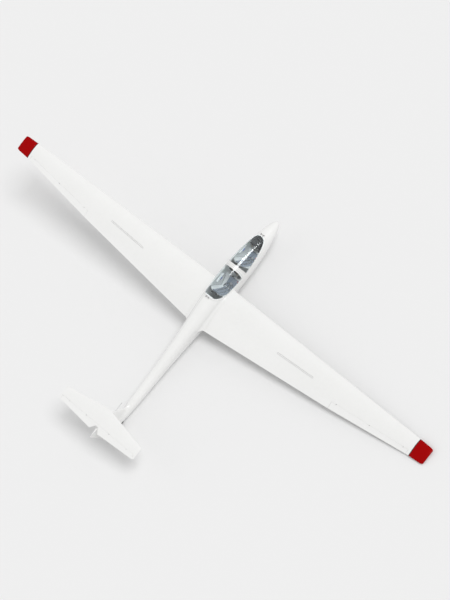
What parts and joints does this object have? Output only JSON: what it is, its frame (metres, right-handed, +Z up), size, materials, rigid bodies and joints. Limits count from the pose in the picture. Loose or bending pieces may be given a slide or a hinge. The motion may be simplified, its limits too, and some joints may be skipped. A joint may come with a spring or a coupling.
{
  "type": "two-seat t-tail sailplane",
  "caption": "Two-seat glass-fibre training sailplane with long tapered wings, red wing tips, a T-tail and hinged canopies, parked with its right wing tip down.",
  "frame": {"origin": "on the ground plane, under the centre of the overall box", "axes": "+X towards the left wing tip, -Y towards the nose, +Z up from the ground; the aircraft stands on its main wheel, its tail wheel and its right tip skid"},
  "size_m": [16.8064, 8.584, 2.4101],
  "materials": {
    "white_gelcoat": "polished white gelcoat over glass fibre",
    "red_paint": "glossy red paint",
    "canopy_acrylic": "clear blown acrylic",
    "cockpit_grey": "satin grey moulding",
    "seat_fabric": "woven dark cloth",
    "black_finish": "crackle black",
    "tyre_rubber": "matt black rubber",
    "steel_parts": "plain steel",
    "cast_alloy": "cast alloy"
  },
  "bodies": {
    "airframe": {"fuselage_front": "white_gelcoat", "fuselage_rear": "white_gelcoat", "tailplane": "white_gelcoat", "wing_left": "white_gelcoat", "wing_tip_left": "red_paint", "tip_skid_left": "black_finish", "wing_right": "white_gelcoat", "wing_tip_right": "red_paint", "tip_skid_right": "black_finish", "cockpit_floor": "cockpit_grey", "front_seat": "cockpit_grey", "front_cushion": "seat_fabric", "rear_seat": "cockpit_grey", "rear_cushion": "seat_fabric", "front_instrument_pod": "black_finish", "rear_instrument_pod": "black_finish", "front_stick": "steel_parts", "front_pedals": "steel_parts", "front_brake_lever": "steel_parts", "rear_stick": "steel_parts", "rear_pedals": "steel_parts", "rear_brake_lever": "steel_parts", "main_fork": "steel_parts", "nose_fork": "steel_parts", "tail_fork": "steel_parts", "nose_tow_hook": "steel_parts", "belly_tow_hook": "steel_parts", "fin_probe": "steel_parts"},
    "aileron_left": {"aileron_left": "white_gelcoat"},
    "aileron_right": {"aileron_right": "white_gelcoat"},
    "elevator": {"elevator": "white_gelcoat"},
    "rudder": {"rudder": "white_gelcoat"},
    "canopy_front": {"canopy_frame_front": "white_gelcoat", "canopy_glass_front": "canopy_acrylic"},
    "canopy_rear": {"canopy_frame_rear": "white_gelcoat", "canopy_glass_rear": "canopy_acrylic"},
    "airbrake_inner_arm_left": {"airbrake_inner_arm_left": "steel_parts"},
    "airbrake_outer_arm_left": {"airbrake_outer_arm_left": "steel_parts"},
    "airbrake_left": {"airbrake_left": "white_gelcoat"},
    "airbrake_inner_arm_right": {"airbrake_inner_arm_right": "steel_parts"},
    "airbrake_outer_arm_right": {"airbrake_outer_arm_right": "steel_parts"},
    "airbrake_right": {"airbrake_right": "white_gelcoat"},
    "main_wheel": {"main_tyre": "tyre_rubber", "main_hub": "cast_alloy"},
    "nose_wheel": {"nose_tyre": "tyre_rubber", "nose_hub": "cast_alloy"},
    "tail_wheel": {"tail_tyre": "tyre_rubber", "tail_hub": "cast_alloy"}
  },
  "joints": [
    {"name": "aileron_left_hinge", "type": "hinge", "parent": "airframe", "child": "aileron_left", "pos_m": [5.13059, -0.94653, 1.67386], "axis": [0.9747, -0.0824, 0.2076], "range_deg": [-22, 22]},
    {"name": "aileron_right_hinge", "type": "hinge", "parent": "airframe", "child": "aileron_right", "pos_m": [-5.06766, -1.00777, 0.27445], "axis": [0.9936, 0.0942, 0.0624], "range_deg": [-22, 22]},
    {"name": "elevator_hinge", "type": "hinge", "parent": "airframe", "child": "elevator", "pos_m": [-0.02407, 3.86075, 1.16717], "axis": [0.9907, 0.0059, 0.1359], "range_deg": [-17, 25]},
    {"name": "rudder_hinge", "type": "hinge", "parent": "airframe", "child": "rudder", "pos_m": [0.1231, 3.71163, 0.10117], "axis": [-0.1357, 0.1188, 0.9836], "range_deg": [-30, 30]},
    {"name": "airbrake_inner_left_hinge", "type": "hinge", "parent": "airframe", "child": "airbrake_inner_arm_left", "pos_m": [2.99463, -1.12751, 1.24057], "axis": [-0.0499, -0.9957, 0.0783], "range_deg": [0, 74]},
    {"name": "airbrake_outer_left_hinge", "type": "hinge", "parent": "airframe", "child": "airbrake_outer_arm_left", "pos_m": [3.99916, -1.16222, 1.43965], "axis": [-0.0499, -0.9957, 0.0783], "range_deg": [0, 74]},
    {"name": "airbrake_blade_left_hinge", "type": "hinge", "parent": "airbrake_inner_arm_left", "child": "airbrake_left", "pos_m": [3.10605, -1.13005, 1.27933], "axis": [0.0499, 0.9957, -0.0783], "range_deg": [0, 74]},
    {"name": "airbrake_inner_right_hinge", "type": "hinge", "parent": "airframe", "child": "airbrake_inner_arm_right", "pos_m": [-2.89195, -1.16286, 0.43281], "axis": [-0.0387, 0.9951, -0.0905], "range_deg": [0, 74]},
    {"name": "airbrake_outer_right_hinge", "type": "hinge", "parent": "airframe", "child": "airbrake_outer_arm_right", "pos_m": [-3.9125, -1.20972, 0.35401], "axis": [-0.0387, 0.9951, -0.0905], "range_deg": [0, 74]},
    {"name": "airbrake_blade_right_hinge", "type": "hinge", "parent": "airbrake_inner_arm_right", "child": "airbrake_right", "pos_m": [-3.00965, -1.16677, 0.44013], "axis": [0.0387, -0.9951, 0.0905], "range_deg": [0, 74]},
    {"name": "canopy_front_hinge", "type": "hinge", "parent": "airframe", "child": "canopy_front", "pos_m": [0.04795, -3.6643, 0.97165], "axis": [0.9907, 0.0059, 0.1359], "range_deg": [0, 58]},
    {"name": "canopy_rear_hinge", "type": "hinge", "parent": "airframe", "child": "canopy_rear", "pos_m": [0.01527, -1.13741, 1.09918], "axis": [-0.9907, -0.0059, -0.1359], "range_deg": [0, 62]},
    {"name": "main_wheel_spin", "type": "hinge", "parent": "airframe", "child": "main_wheel", "pos_m": [0.14175, -1.21029, 0.18068], "axis": [0.9907, 0.0059, 0.1359], "continuous": true},
    {"name": "nose_wheel_spin", "type": "hinge", "parent": "airframe", "child": "nose_wheel", "pos_m": [0.12333, -3.51851, 0.41594], "axis": [0.9907, 0.0059, 0.1359], "continuous": true},
    {"name": "tail_wheel_spin", "type": "hinge", "parent": "airframe", "child": "tail_wheel", "pos_m": [0.12522, 3.38028, 0.10026], "axis": [0.9907, 0.0059, 0.1359], "continuous": true}
  ],
  "couplings": [
    {"joint": "aileron_right_hinge", "follows": "aileron_left_hinge", "ratio": -1},
    {"joint": "airbrake_outer_left_hinge", "follows": "airbrake_inner_left_hinge", "ratio": 1},
    {"joint": "airbrake_blade_left_hinge", "follows": "airbrake_inner_left_hinge", "ratio": 1},
    {"joint": "airbrake_inner_right_hinge", "follows": "airbrake_inner_left_hinge", "ratio": 1},
    {"joint": "airbrake_outer_right_hinge", "follows": "airbrake_inner_left_hinge", "ratio": 1},
    {"joint": "airbrake_blade_right_hinge", "follows": "airbrake_inner_left_hinge", "ratio": 1}
  ]
}
